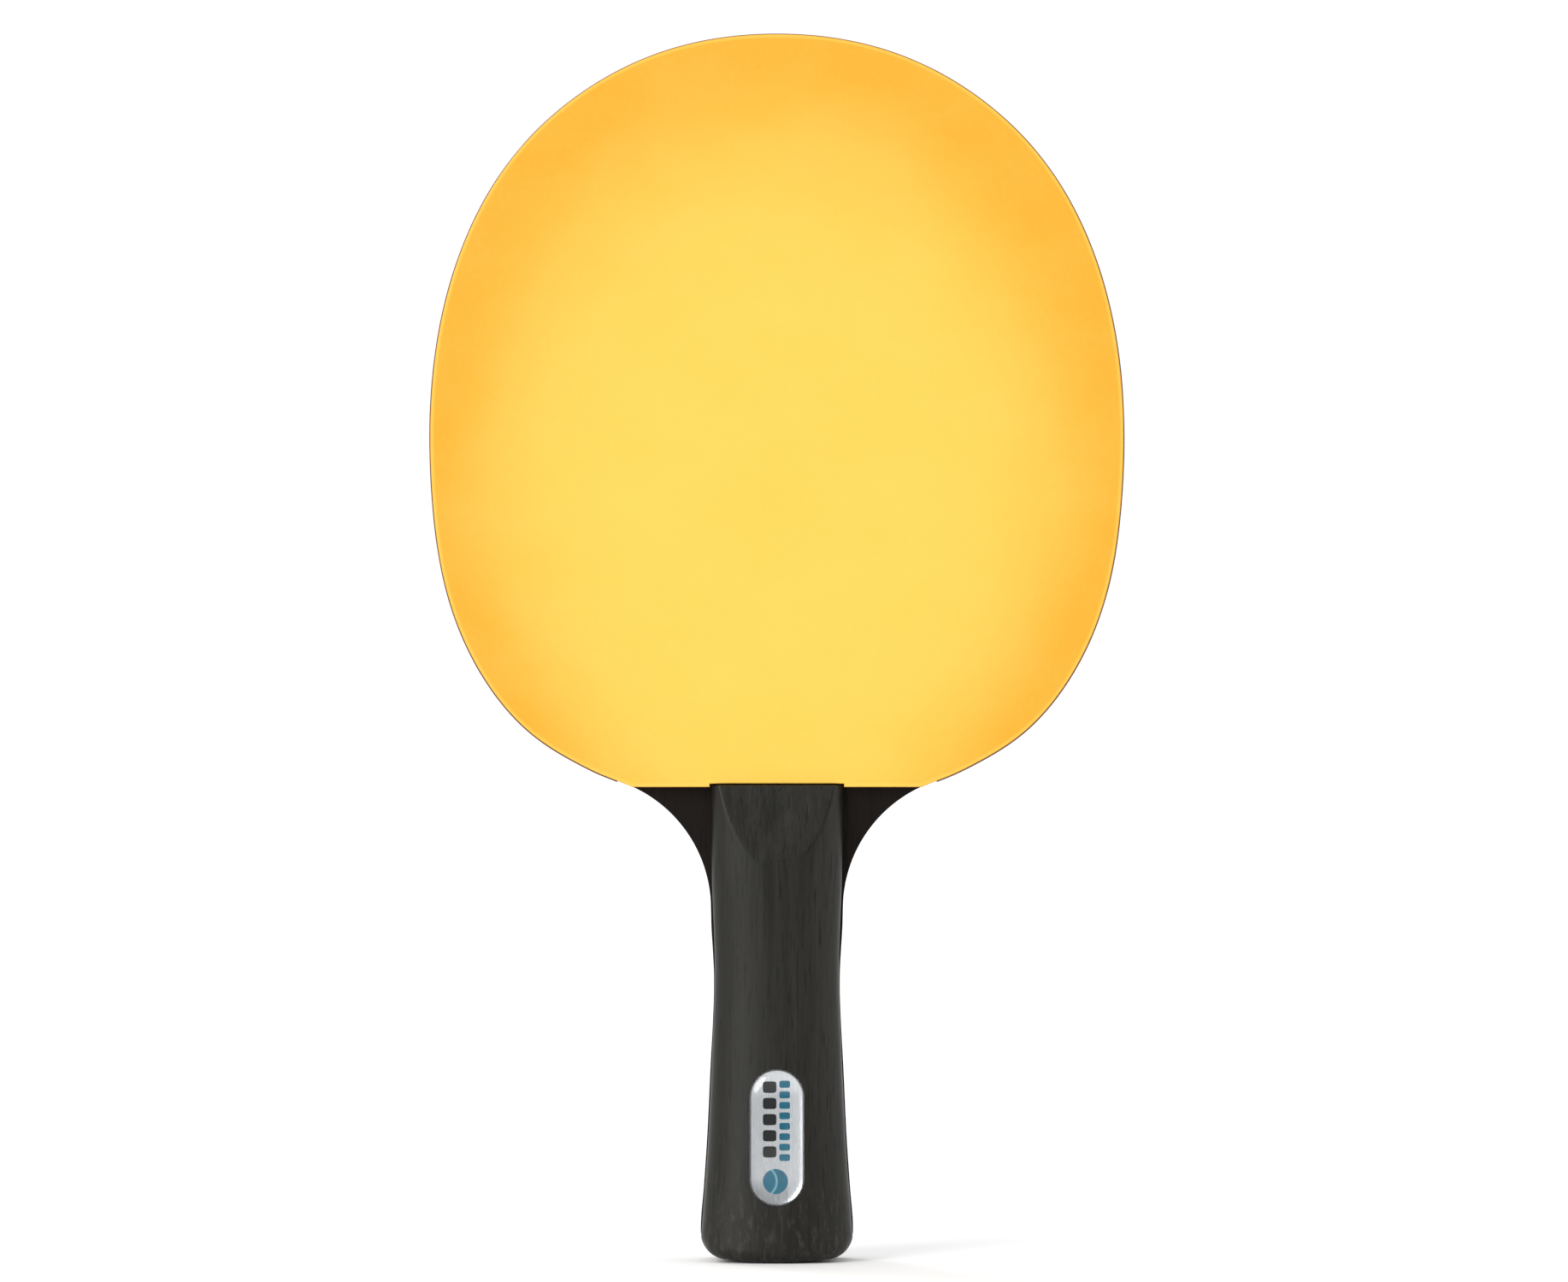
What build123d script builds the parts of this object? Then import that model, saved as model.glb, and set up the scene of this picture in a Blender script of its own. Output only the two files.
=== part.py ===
from build123d import *
from math import cos, radians, sin, sqrt
import os

os.makedirs("parts", exist_ok=True)

# A table tennis paddle, standing upright on the butt of its handle.
# Millimetres. +Z runs from the butt to the tip of the head, +X to the right.
# The front rubber faces -Y, and y = 0 is the middle of the blade.

# Blade plies, from the middle outwards
CORE_THICK = 3.8
INNER_PLY_THICK = 0.6
OUTER_PLY_THICK = 0.5
CORE_Y = CORE_THICK / 2
INNER_Y = CORE_Y + INNER_PLY_THICK
BLADE_Y = INNER_Y + OUTER_PLY_THICK

# Blade outline, right-hand half: (half width, height) from the tip downwards
HEAD_TIP_Z = 259.7
HEAD_POINTS = [
    (37.7, 249.6),
    (54.8, 234.9),
    (70.1, 203.1),
    (72.9, 162.3),
    (67.5, 134.7),
    (54.9, 114.5),
    (46.6, 108.0),
    (38.2, 103.5),
]
THROAT_RADIUS = 28.5
THROAT_TURN = 68.0
THROAT_X = 14.0
THROAT_Z = 74.5
GRIP_POINTS = [(13.4, 62), (13.95, 44), (14.9, 24.5), (16.2, 6.5)]
BUTT_CORNER_X = 16.55
BUTT_ARC_RADIUS = 90.0
BUTT_CORNER_RADIUS = 6.0

# Rubbers: a foam sponge glued to the blade, and a pimpled sheet glued to the sponge
RUBBER_BOTTOM_Z = 100.4
NOSE_NOTCH_WIDTH = 28.4
NOSE_NOTCH_DEPTH = 0.7
SPONGE_THICK = 1.9
PIP_HEIGHT = 0.9
SHEET_THICK = 0.9
SPONGE_Y = BLADE_Y + SPONGE_THICK
SHEET_Y = SPONGE_Y + PIP_HEIGHT + SHEET_THICK

# Tape around the edge of the head
TAPE_THICK = 0.3
TAPE_WIDTH = 8.0
TAPE_BOTTOM_Z = 101.4

# Handle scales: (height, half width, thickness at the crown) of their sections
SCALE_SECTIONS = [
    (-1.0, 16.5, 9.7),
    (10.0, 15.7, 9.45),
    (24.0, 14.65, 9.1),
    (44.0, 13.7, 8.5),
    (62.0, 13.15, 8.1),
    (84.0, 13.85, 8.2),
    (102.0, 13.9, 8.2),
]
SCALE_SIDE_WALL = 1.5
SCALE_NOSE_Z = RUBBER_BOTTOM_Z + NOSE_NOTCH_DEPTH - 0.3
SCALE_NOSE_THICK = 4.6
SCALE_BEVEL_Z = 84.8
SCALE_BEVEL_THICK = 7.85
SCALE_FACET_Z = 58.0
SCALE_FACET_THICK = 8.2
SCALE_LIMIT_THICK = 9.6
SCALE_BUTT_ROUND = 2.5

# Badge on the front scale
BADGE_Z = 26.5
BADGE_Y = 11.1
BADGE_TILT = 1.6
BADGE_LENGTH = 28.9
BADGE_WIDTH = 11.5
POCKET_CLEARANCE = 0.1
FOIL_THICK = 0.15
DOME_THICK = 1.6


# Outline of the blade, seen from the front
throat_end_x = THROAT_X + THROAT_RADIUS * (1 - cos(radians(THROAT_TURN)))
throat_end_z = THROAT_Z + THROAT_RADIUS * sin(radians(THROAT_TURN))
throat_direction = (-sin(radians(THROAT_TURN)), -cos(radians(THROAT_TURN)))
butt_corner_z = BUTT_ARC_RADIUS - sqrt(BUTT_ARC_RADIUS**2 - BUTT_CORNER_X**2)

with BuildSketch() as blade_outline:
    with BuildLine():
        Spline(
            (0, HEAD_TIP_Z),
            *HEAD_POINTS,
            (throat_end_x, throat_end_z),
            tangents=[(1, 0), throat_direction],
        )
        CenterArc((THROAT_X + THROAT_RADIUS, THROAT_Z), THROAT_RADIUS, 180, -THROAT_TURN)
        Spline(
            (THROAT_X, THROAT_Z),
            *GRIP_POINTS,
            (BUTT_CORNER_X, butt_corner_z),
            tangents=[(0, -1), (0.07, -1)],
        )
        RadiusArc((BUTT_CORNER_X, butt_corner_z), (0, 0), BUTT_ARC_RADIUS)
        mirror(about=Plane.YZ)
    make_face()
    butt_corners = blade_outline.vertices().group_by(Axis.Y)[0]
    fillet(butt_corners, BUTT_CORNER_RADIUS)

# The rubbers end in a straight cut, with a shallow notch for the handle's nose
with BuildSketch() as rubber_outline:
    add(blade_outline.sketch)
    with Locations((0, RUBBER_BOTTOM_Z)):
        Rectangle(200, 300, align=(Align.CENTER, Align.MAX), mode=Mode.SUBTRACT)
        Rectangle(
            NOSE_NOTCH_WIDTH,
            NOSE_NOTCH_DEPTH,
            align=(Align.CENTER, Align.MIN),
            mode=Mode.SUBTRACT,
        )


# A flat layer between two depths, positive depths being towards the front
def flat_layer(outline, depth_from, depth_to):
    with BuildPart() as layer:
        with BuildSketch(Plane.XZ.offset(depth_from)):
            add(outline.sketch)
        extrude(amount=depth_to - depth_from)
    return layer


# Blade: five plies glued face to face
blade_core_ply = flat_layer(blade_outline, -CORE_Y, CORE_Y)
blade_front_inner_ply = flat_layer(blade_outline, CORE_Y, INNER_Y)
blade_back_inner_ply = flat_layer(blade_outline, -INNER_Y, -CORE_Y)
blade_front_outer_ply = flat_layer(blade_outline, INNER_Y, BLADE_Y)
blade_back_outer_ply = flat_layer(blade_outline, -BLADE_Y, -INNER_Y)

# Sponges, one on each face of the blade
front_sponge = flat_layer(rubber_outline, BLADE_Y, SPONGE_Y)
back_sponge = flat_layer(rubber_outline, -SPONGE_Y, -BLADE_Y)

# Topsheets: a sheet with its layer of pips, which faces the sponge and is drawn closed
front_topsheet = flat_layer(rubber_outline, SPONGE_Y, SHEET_Y)
back_topsheet = flat_layer(rubber_outline, -SHEET_Y, -SPONGE_Y)

# Edge tape: a thin strip swept around the head, over the blade and the sponges' feet
with BuildSketch(Plane.XZ) as taped_area:
    add(blade_outline.sketch)
    with Locations((0, TAPE_BOTTOM_Z)):
        Rectangle(200, 300, align=(Align.CENTER, Align.MAX), mode=Mode.SUBTRACT)

with BuildPart() as edge_tape:
    with BuildLine() as head_edge:
        add(taped_area.sketch.edges().sort_by(SortBy.LENGTH)[-1])
    tape_start = Plane(
        origin=head_edge.line @ 0,
        x_dir=(0, 1, 0),
        z_dir=head_edge.line % 0,
    )
    with BuildSketch(tape_start):
        Rectangle(TAPE_WIDTH, TAPE_THICK, align=(Align.CENTER, Align.MAX))
    sweep()

# Back scale: oval sections lofted along the grip, then cut to its side profile
with BuildPart() as handle_back_scale:
    for height, half_width, crown in SCALE_SECTIONS:
        wall_y = BLADE_Y + SCALE_SIDE_WALL
        with BuildSketch(Plane.XY.offset(height)):
            with BuildLine():
                Line((-half_width, BLADE_Y), (half_width, BLADE_Y))
                Line((half_width, BLADE_Y), (half_width, wall_y))
                EllipticalCenterArc((0, wall_y), half_width, crown - SCALE_SIDE_WALL, 0, arc_size=180)
                Line((-half_width, wall_y), (-half_width, BLADE_Y))
            make_face()
    loft()
    with BuildSketch(Plane.YZ) as side_profile:
        with BuildLine():
            Polyline(
                (BLADE_Y, 0),
                (BLADE_Y + SCALE_LIMIT_THICK, 0),
                (BLADE_Y + SCALE_LIMIT_THICK, SCALE_FACET_Z - 2),
                (BLADE_Y + SCALE_FACET_THICK, SCALE_FACET_Z),
                (BLADE_Y + SCALE_BEVEL_THICK, SCALE_BEVEL_Z),
                (BLADE_Y + SCALE_NOSE_THICK, SCALE_NOSE_Z),
                (BLADE_Y, SCALE_NOSE_Z),
                close=True,
            )
        make_face()
        butt_edge = side_profile.vertices().group_by(Axis.Y)[0].sort_by(Axis.X)[-1]
        fillet(butt_edge, SCALE_BUTT_ROUND)
    extrude(amount=30, both=True, mode=Mode.INTERSECT)
    with BuildSketch(Plane.XZ):
        add(blade_outline.sketch)
    extrude(amount=30, both=True, mode=Mode.INTERSECT)

# Front scale: the same shape turned to the front, with a pocket for the badge
tilt = radians(BADGE_TILT)
badge_normal = Vector(0, -cos(tilt), sin(tilt))
badge_plane = Plane(origin=(0, -BADGE_Y, BADGE_Z), x_dir=(1, 0, 0), z_dir=badge_normal)

with BuildPart() as handle_front_scale:
    mirror(handle_back_scale.part, about=Plane.XZ)
    with BuildSketch(badge_plane):
        SlotOverall(
            BADGE_LENGTH + 2 * POCKET_CLEARANCE,
            BADGE_WIDTH + 2 * POCKET_CLEARANCE,
            rotation=90,
        )
    extrude(amount=10, mode=Mode.SUBTRACT)

# Badge: a printed metallised foil on the floor of the pocket
with BuildPart() as badge_foil:
    with BuildSketch(badge_plane):
        SlotOverall(BADGE_LENGTH, BADGE_WIDTH, rotation=90)
    extrude(amount=FOIL_THICK)

# Badge dome: clear resin, a lens profile run along the stadium
with BuildPart() as badge_dome:
    foil_top = badge_plane.offset(FOIL_THICK)
    half_run = (BADGE_LENGTH - BADGE_WIDTH) / 2
    up_the_grip = foil_top.y_dir
    middle = Plane(origin=foil_top.origin, x_dir=foil_top.x_dir, z_dir=-up_the_grip)
    with BuildSketch(middle):
        with BuildLine():
            EllipticalCenterArc((0, 0), BADGE_WIDTH / 2, DOME_THICK, 0, arc_size=180)
            Line((BADGE_WIDTH / 2, 0), (-BADGE_WIDTH / 2, 0))
        make_face()
    extrude(amount=half_run, both=True)
    for end in (-half_run, half_run):
        end_plane = middle.offset(end)
        with BuildSketch(end_plane):
            with BuildLine():
                EllipticalCenterArc((0, 0), BADGE_WIDTH / 2, DOME_THICK, 0, arc_size=90)
                Line((0, DOME_THICK), (0, 0))
                Line((0, 0), (BADGE_WIDTH / 2, 0))
            make_face()
        revolve(axis=Axis(end_plane.origin, badge_normal))

pieces = {
    "blade_core_ply": blade_core_ply,
    "blade_front_inner_ply": blade_front_inner_ply,
    "blade_back_inner_ply": blade_back_inner_ply,
    "blade_front_outer_ply": blade_front_outer_ply,
    "blade_back_outer_ply": blade_back_outer_ply,
    "front_sponge": front_sponge,
    "back_sponge": back_sponge,
    "front_topsheet": front_topsheet,
    "back_topsheet": back_topsheet,
    "edge_tape": edge_tape,
    "handle_front_scale": handle_front_scale,
    "handle_back_scale": handle_back_scale,
    "badge_foil": badge_foil,
    "badge_dome": badge_dome,
}
for name, piece in pieces.items():
    piece.part.label = name
    export_step(piece.part, f"parts/{name}.step")
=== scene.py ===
import math

import bmesh
import bpy
import numpy as np
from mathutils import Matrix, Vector, noise


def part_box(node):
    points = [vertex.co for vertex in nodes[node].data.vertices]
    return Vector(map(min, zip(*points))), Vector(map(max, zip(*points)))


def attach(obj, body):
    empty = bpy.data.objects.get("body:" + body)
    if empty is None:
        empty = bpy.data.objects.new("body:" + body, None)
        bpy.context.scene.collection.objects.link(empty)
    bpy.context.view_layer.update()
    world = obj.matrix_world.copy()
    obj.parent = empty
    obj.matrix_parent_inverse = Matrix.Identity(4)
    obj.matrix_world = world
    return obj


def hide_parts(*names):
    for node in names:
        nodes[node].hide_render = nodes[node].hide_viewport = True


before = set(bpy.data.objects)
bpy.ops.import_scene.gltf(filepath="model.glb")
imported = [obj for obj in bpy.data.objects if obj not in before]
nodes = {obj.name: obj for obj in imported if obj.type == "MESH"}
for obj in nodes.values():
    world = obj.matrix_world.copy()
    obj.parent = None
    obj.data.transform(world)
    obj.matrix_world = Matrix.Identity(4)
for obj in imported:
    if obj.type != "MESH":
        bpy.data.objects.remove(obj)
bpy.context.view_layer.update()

MM = 0.001

# ---------------------------------------------------------------- camera

# A long lens from far off, as the picture shows next to no perspective
LENS = 200.0
SENSOR = 36.0
VIEW_WIDTH = 0.3328
VIEW_X = 0.00150
VIEW_Z = 0.1313

camera_data = bpy.data.cameras.new("camera")
camera_data.lens = LENS
camera_data.sensor_width = SENSOR
camera_data.clip_end = 50
camera = bpy.data.objects.new("camera", camera_data)
bpy.context.scene.collection.objects.link(camera)
camera.location = (VIEW_X, -VIEW_WIDTH * LENS / SENSOR, VIEW_Z)
camera.rotation_euler = (math.radians(90), 0, 0)
bpy.context.scene.camera = camera

# ---------------------------------------------------------------- sizes

# Depths and heights read from the frame
BLADE_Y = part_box("blade_back_outer_ply")[1][1]
SPONGE_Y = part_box("back_sponge")[1][1]
SHEET_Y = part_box("back_topsheet")[1][1]
HEAD_LOW_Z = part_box("back_topsheet")[0][2]
TAPE_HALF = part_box("edge_tape")[1][1]
NOSE_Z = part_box("handle_back_scale")[1][2]

# A point inside the head, from which the rim is seen all round
HEAD_MID_Z = 0.175

# The topsheet: a solid sheet with staggered rows of pips under it
SHEET_THICK = 0.9 * MM
PIP_TOP_Y = SHEET_Y - SHEET_THICK
PIP_PITCH = 2.4 * MM


# ---------------------------------------------------------------- mesh helpers


def new_object(name, vertices, faces, merge=0.0, values=None):
    """A mesh object with outward normals, with points nearer than merge joined, and point values."""
    mesh = bpy.data.meshes.new(name)
    mesh.from_pydata([tuple(map(float, v)) for v in vertices], [], faces)
    for key, numbers in (values or {}).items():
        mesh.attributes.new(key, "FLOAT", "POINT").data.foreach_set("value", numbers)
    bm = bmesh.new()
    bm.from_mesh(mesh)
    if merge:
        bmesh.ops.remove_doubles(bm, verts=bm.verts, dist=merge)
    bmesh.ops.recalc_face_normals(bm, faces=bm.faces)
    bm.to_mesh(mesh)
    bm.free()
    made = bpy.data.objects.new(name, mesh)
    bpy.context.scene.collection.objects.link(made)
    return made


def finish_piece(piece, material, replaced, smooth_angle=40):
    piece.data.materials.clear()
    piece.data.materials.append(material)
    piece.data.polygons.foreach_set("use_smooth", [True] * len(piece.data.polygons))
    piece.data.set_sharp_from_angle(angle=math.radians(smooth_angle))
    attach(piece, "root")
    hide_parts(replaced)


def make_piece(name, vertices, faces, material, replaced, smooth_angle=40, values=None):
    piece = new_object(name, vertices, faces, 1e-7, values)
    finish_piece(piece, material, replaced, smooth_angle)
    return piece


def hermite(t, start, start_slope, end, end_slope):
    """The cubic from start to end with those slopes, at t from 0 to 1."""
    return (
        (2 * t**3 - 3 * t**2 + 1) * start
        + (t**3 - 2 * t**2 + t) * start_slope
        + (-2 * t**3 + 3 * t**2) * end
        + (t**3 - t**2) * end_slope
    )


def ring_of(node, depth):
    """The outline of a node's flat face at that depth, as (x, z) points in order, anticlockwise."""
    tolerance = 2e-6
    bm = bmesh.new()
    bm.from_mesh(nodes[node].data)
    bmesh.ops.remove_doubles(bm, verts=bm.verts, dist=tolerance)
    flat = {face for face in bm.faces if all(abs(v.co.y - depth) < tolerance for v in face.verts)}
    after = {}
    for face in flat:
        for loop in face.loops:
            if sum(other in flat for other in loop.edge.link_faces) == 1:
                after[loop.vert] = loop.link_loop_next.vert
    # The walk starts at the lowest point, so that it is the same each run
    walk = [min(after, key=lambda v: (round(v.co.z, 6), v.co.x))]
    while after[walk[-1]] is not walk[0]:
        walk.append(after[walk[-1]])
    ring = np.array([(v.co.x, v.co.z) for v in walk])
    bm.free()
    ahead = np.roll(ring, -1, 0)
    area = (ring[:, 0] * ahead[:, 1] - ahead[:, 0] * ring[:, 1]).sum()
    return ring if area > 0 else ring[::-1]


def densify(ring, step, corner_angle=18):
    """The closed ring with points about every step: smooth runs stay smooth, corners stay sharp."""
    count = len(ring)
    run = np.roll(ring, -1, 0) - ring
    length = np.linalg.norm(run, axis=1)
    slope = run / length[:, None]
    slope_in, length_in = np.roll(slope, 1, 0), np.roll(length, 1)
    corner = (slope * slope_in).sum(1) < math.cos(math.radians(corner_angle))
    blend = slope * length_in[:, None] + slope_in * length[:, None]
    blend /= (length + length_in)[:, None]
    out = []
    for i in range(count):
        j = (i + 1) % count
        start = (slope[i] if corner[i] else blend[i]) * length[i]
        end = (slope[i] if corner[j] else blend[j]) * length[i]
        pieces = max(1, round(length[i] / step))
        out += [hermite(k / pieces, ring[i], start, ring[j], end) for k in range(pieces)]
    return np.array(out)


def inward_normals(ring):
    """Inward miters: moving each point by its own shifts both edges beside it by one."""
    run = np.roll(ring, -1, 0) - ring
    run /= np.linalg.norm(run, axis=1)[:, None]
    normal = np.stack([-run[:, 1], run[:, 0]], 1)
    before = np.roll(normal, 1, 0)
    return (normal + before) / (1 + (normal * before).sum(1))[:, None]


def loft_faces(count, levels, base=0):
    """The faces between loops of count points each, level after level, and a cap at each end."""
    faces = []
    for low in range(base, base + (levels - 1) * count, count):
        high = low + count
        for i in range(count):
            j = (i + 1) % count
            faces.append((low + i, low + j, high + j, high + i))
    last = base + (levels - 1) * count
    faces.append(tuple(range(base, base + count)))
    faces.append(tuple(range(last, last + count)))
    return faces


def slab(ring, profile, side):
    """A closed slab: a loop of the ring for each (inset, depth) of the profile, capped at the ends."""
    normals = inward_normals(ring)
    vertices = []
    for inset, depth in profile:
        loop = ring + normals * np.reshape(inset, (-1, 1))
        vertices += [(x, side * depth, z) for x, z in loop]
    return vertices, loft_faces(len(ring), len(profile))


def rounded_edge(radius):
    """(inset, drop) along an edge of that radius, from the side wall to the face."""
    quarter = [(0.0, 1.0), (0.076, 0.617), (0.293, 0.293), (0.617, 0.076), (1.0, 0.0)]
    return [(inset * radius, drop * radius) for inset, drop in quarter]


# ---------------------------------------------------------------- material helpers


def srgb(r, g, b):
    def linear(c):
        c /= 255
        return c / 12.92 if c <= 0.04045 else ((c + 0.055) / 1.055) ** 2.4

    return (linear(r), linear(g), linear(b), 1.0)


class Shader:
    """A material with a Principled shader, and short ways to add the nodes that feed it."""

    def __init__(self, name, **constants):
        self.material = bpy.data.materials.new(name)
        self.material.use_nodes = True
        self.tree = self.material.node_tree
        self.surface = self.tree.nodes["Principled BSDF"]
        for key, value in constants.items():
            self.surface.inputs[key.replace("_", " ")].default_value = value
        self.place = self.add("ShaderNodeTexCoord").outputs["Object"]

    def connect(self, value, socket):
        """Link a socket's value to the socket, or set a plain value on it."""
        if isinstance(value, bpy.types.NodeSocket):
            self.tree.links.new(value, socket)
        else:
            socket.default_value = value

    def add(self, kind, settings=None, inputs=None):
        made = self.tree.nodes.new(kind)
        for key, value in (settings or {}).items():
            setattr(made, key, value)
        for key, value in (inputs or {}).items():
            self.connect(value, made.inputs[key])
        return made

    def math(self, operation, a, b=0.0, c=0.0, clamp=False):
        settings = {"operation": operation, "use_clamp": clamp}
        return self.add("ShaderNodeMath", settings, {0: a, 1: b, 2: c}).outputs[0]

    def distance(self, a, b):
        """The length of the vector (a, b)."""
        squares = self.math("ADD", self.math("POWER", a, 2), self.math("POWER", b, 2))
        return self.math("SQRT", squares)

    def scaled(self, scale, location=(0, 0, 0), rotation=(0, 0, 0), vector=None):
        inputs = {
            "Vector": vector or self.place,
            "Scale": scale,
            "Location": location,
            "Rotation": rotation,
        }
        return self.add("ShaderNodeMapping", None, inputs).outputs[0]

    def noise(self, vector, scale, detail=4.0, roughness=0.55):
        inputs = {"Vector": vector, "Scale": scale, "Detail": detail, "Roughness": roughness}
        return self.add("ShaderNodeTexNoise", None, inputs).outputs["Fac"]

    def ramp(self, factor, stops, interpolation="LINEAR"):
        """A colour ramp; a stop is a position with a colour or a grey level."""
        made = self.add("ShaderNodeValToRGB", None, {"Fac": factor})
        made.color_ramp.interpolation = interpolation
        elements = made.color_ramp.elements
        while len(elements) < len(stops):
            elements.new(0.5)
        for element, (position, colour) in zip(elements, stops):
            element.position = position
            element.color = colour if isinstance(colour, tuple) else (colour, colour, colour, 1)
        return made.outputs["Color"]

    def band(self, value, low, high, new_low=0.0, new_high=1.0):
        """The value's range from low to high, mapped to the new range and clamped to it."""
        inputs = {
            "Value": value,
            "From Min": low,
            "From Max": high,
            "To Min": new_low,
            "To Max": new_high,
        }
        return self.add("ShaderNodeMapRange", None, inputs).outputs[0]

    def mix(self, factor, a, b):
        inputs = {0: factor, 6: a, 7: b}
        return self.add("ShaderNodeMix", {"data_type": "RGBA"}, inputs).outputs[2]

    def attribute(self, name):
        return self.add("ShaderNodeAttribute", {"attribute_name": name}).outputs["Fac"]

    def split(self):
        """The object coordinates x, y and z."""
        return self.add("ShaderNodeSeparateXYZ", None, {0: self.place}).outputs

    def bump(self, height, strength, distance, normal=None):
        inputs = {"Height": height, "Strength": strength, "Distance": distance}
        if normal is not None:
            inputs["Normal"] = normal
        return self.add("ShaderNodeBump", None, inputs).outputs[0]

    def feed(self, **sockets):
        for key, value in sockets.items():
            self.tree.links.new(value, self.surface.inputs[key.replace("_", " ")])
        return self.material


# ---------------------------------------------------------------- materials

# The front rubber's painted pool of light: an oval, narrower at its foot, that is pale inside and deep
# outside
LIGHT_POOL_SHIFT_X = 0.0010
LIGHT_POOL_Z = 0.159
LIGHT_POOL_FOOT_Z = 0.100
LIGHT_POOL_FOOT_NARROWING = 0.76
LIGHT_POOL_HALF_WIDTH = 0.0598
LIGHT_POOL_HALF_HEIGHT = 0.0779
LIGHT_POOL_WOBBLE = 0.07
LIGHT_POOL_FROM, LIGHT_POOL_TO = 0.55, 1.25
LIGHT_POOL_STOPS = [(0.0, 0.0), (0.36, 0.11), (0.66, 0.47), (0.87, 0.92), (1.0, 1.0)]


def rubber_sheet(name, centre, edge, fleck, rim_highlight_tone, cut_shade_tone, roughness, mottle):
    """Smooth pimpled rubber painted with a pool of light: paler in the middle, deeper to the rim, its
    pips barely telling.

    The rim attribute is 1 on the rounded edge, 0 on the face and negative on the cut side. The rounded
    edge is painted with a highlight, and the cut side and the pips with shade.
    """
    s = Shader(name, Roughness=roughness)
    s.surface.inputs["Specular IOR Level"].default_value = 0.35
    x, _, z = s.split()

    # The pale middle and the deeper rim are a painted pool of light and sheen
    wobble = s.noise(s.scaled((1, 1, 1)), 22.0, 3.0)
    wobble = s.band(wobble, 0, 1, -LIGHT_POOL_WOBBLE, LIGHT_POOL_WOBBLE)
    below = s.band(z, LIGHT_POOL_Z, LIGHT_POOL_FOOT_Z, 1.0, LIGHT_POOL_FOOT_NARROWING)
    half_width = s.math("MULTIPLY", below, LIGHT_POOL_HALF_WIDTH)
    across = s.math("DIVIDE", s.math("ADD", x, LIGHT_POOL_SHIFT_X), half_width)
    up = s.math("DIVIDE", s.math("SUBTRACT", z, LIGHT_POOL_Z), LIGHT_POOL_HALF_HEIGHT)
    radius = s.math("ADD", s.distance(across, up), wobble)
    fade = s.ramp(s.band(radius, LIGHT_POOL_FROM, LIGHT_POOL_TO), LIGHT_POOL_STOPS, "B_SPLINE")
    colour = s.mix(fade, centre, edge)

    # Painted highlight on the rounded edge, painted shade on the cut side and the pips
    rim = s.attribute("rim")
    colour = s.mix(s.band(rim, 0.0, 1.0, 0.0, 0.55), colour, rim_highlight_tone)
    colour = s.mix(s.band(rim, 0.0, -1.0, 0.0, 0.75), colour, cut_shade_tone)
    grain = s.noise(s.scaled((1, 1, 1)), 900.0, 3.0, 0.6)
    cloud = s.noise(s.scaled((1, 0.2, 1.4), location=(3.1, 0, 0.7)), 45.0, 4.0, 0.6)
    tall = s.noise(s.scaled((1, 1, 1), location=(0.4, 0.2, 0.9)), 260.0, 3.0, 0.6)
    colour = s.mix(s.band(grain, 0.35, 0.75, 0.0, 0.06), colour, fleck)
    colour = s.mix(s.band(cloud, 0.35, 0.8, 0.0, mottle), colour, fleck)
    rough_cloud = s.band(cloud, 0.3, 0.8, -0.06, 0.10)
    rough_fine = s.band(tall, 0.3, 0.7, roughness - 0.03, roughness + 0.03)
    rough = s.math("ADD", rough_cloud, rough_fine)

    # Three waves at 60 degrees make the pips' staggered pattern
    wave = 2 * math.pi / (PIP_PITCH * math.cos(math.radians(30)))
    pip = None
    for angle in (0, 60, 120):
        turn = math.radians(angle)
        phase_x = s.math("MULTIPLY", x, wave * math.sin(turn))
        phase_z = s.math("MULTIPLY", z, wave * math.cos(turn))
        ripple = s.math("COSINE", s.math("ADD", phase_x, phase_z))
        pip = ripple if pip is None else s.math("ADD", pip, ripple)
    normal = s.bump(grain, 0.12, 0.02 * MM)
    normal = s.bump(s.band(pip, -1.5, 3.0), 0.5, 0.02 * MM, normal)
    normal = s.bump(tall, 0.12, 0.05 * MM, normal)
    return s.feed(Base_Color=colour, Roughness=rough, Normal=normal)


def foam(name, light, dark):
    """Sponge with open cells of two sizes, the cells painted darker as shade."""
    s = Shader(name, Roughness=0.85)
    pores = []
    for scale, full in ((3600.0, 0.6), (1700.0, 0.45)):
        inputs = {"Vector": s.place, "Scale": scale}
        cells = s.add("ShaderNodeTexVoronoi", {"feature": "F1"}, inputs)
        pores.append(s.band(cells.outputs["Distance"], 0.1, full))
    pore = s.math("MULTIPLY", *pores)
    # Painted shade: the open cells are darker than the foam around them
    colour = s.mix(pore, dark, light)
    rough = s.band(pore, 0, 1, 0.95, 0.75)
    normal = s.bump(pore, 0.7, 0.08 * MM)
    return s.feed(Base_Color=colour, Roughness=rough, Normal=normal)


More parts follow.
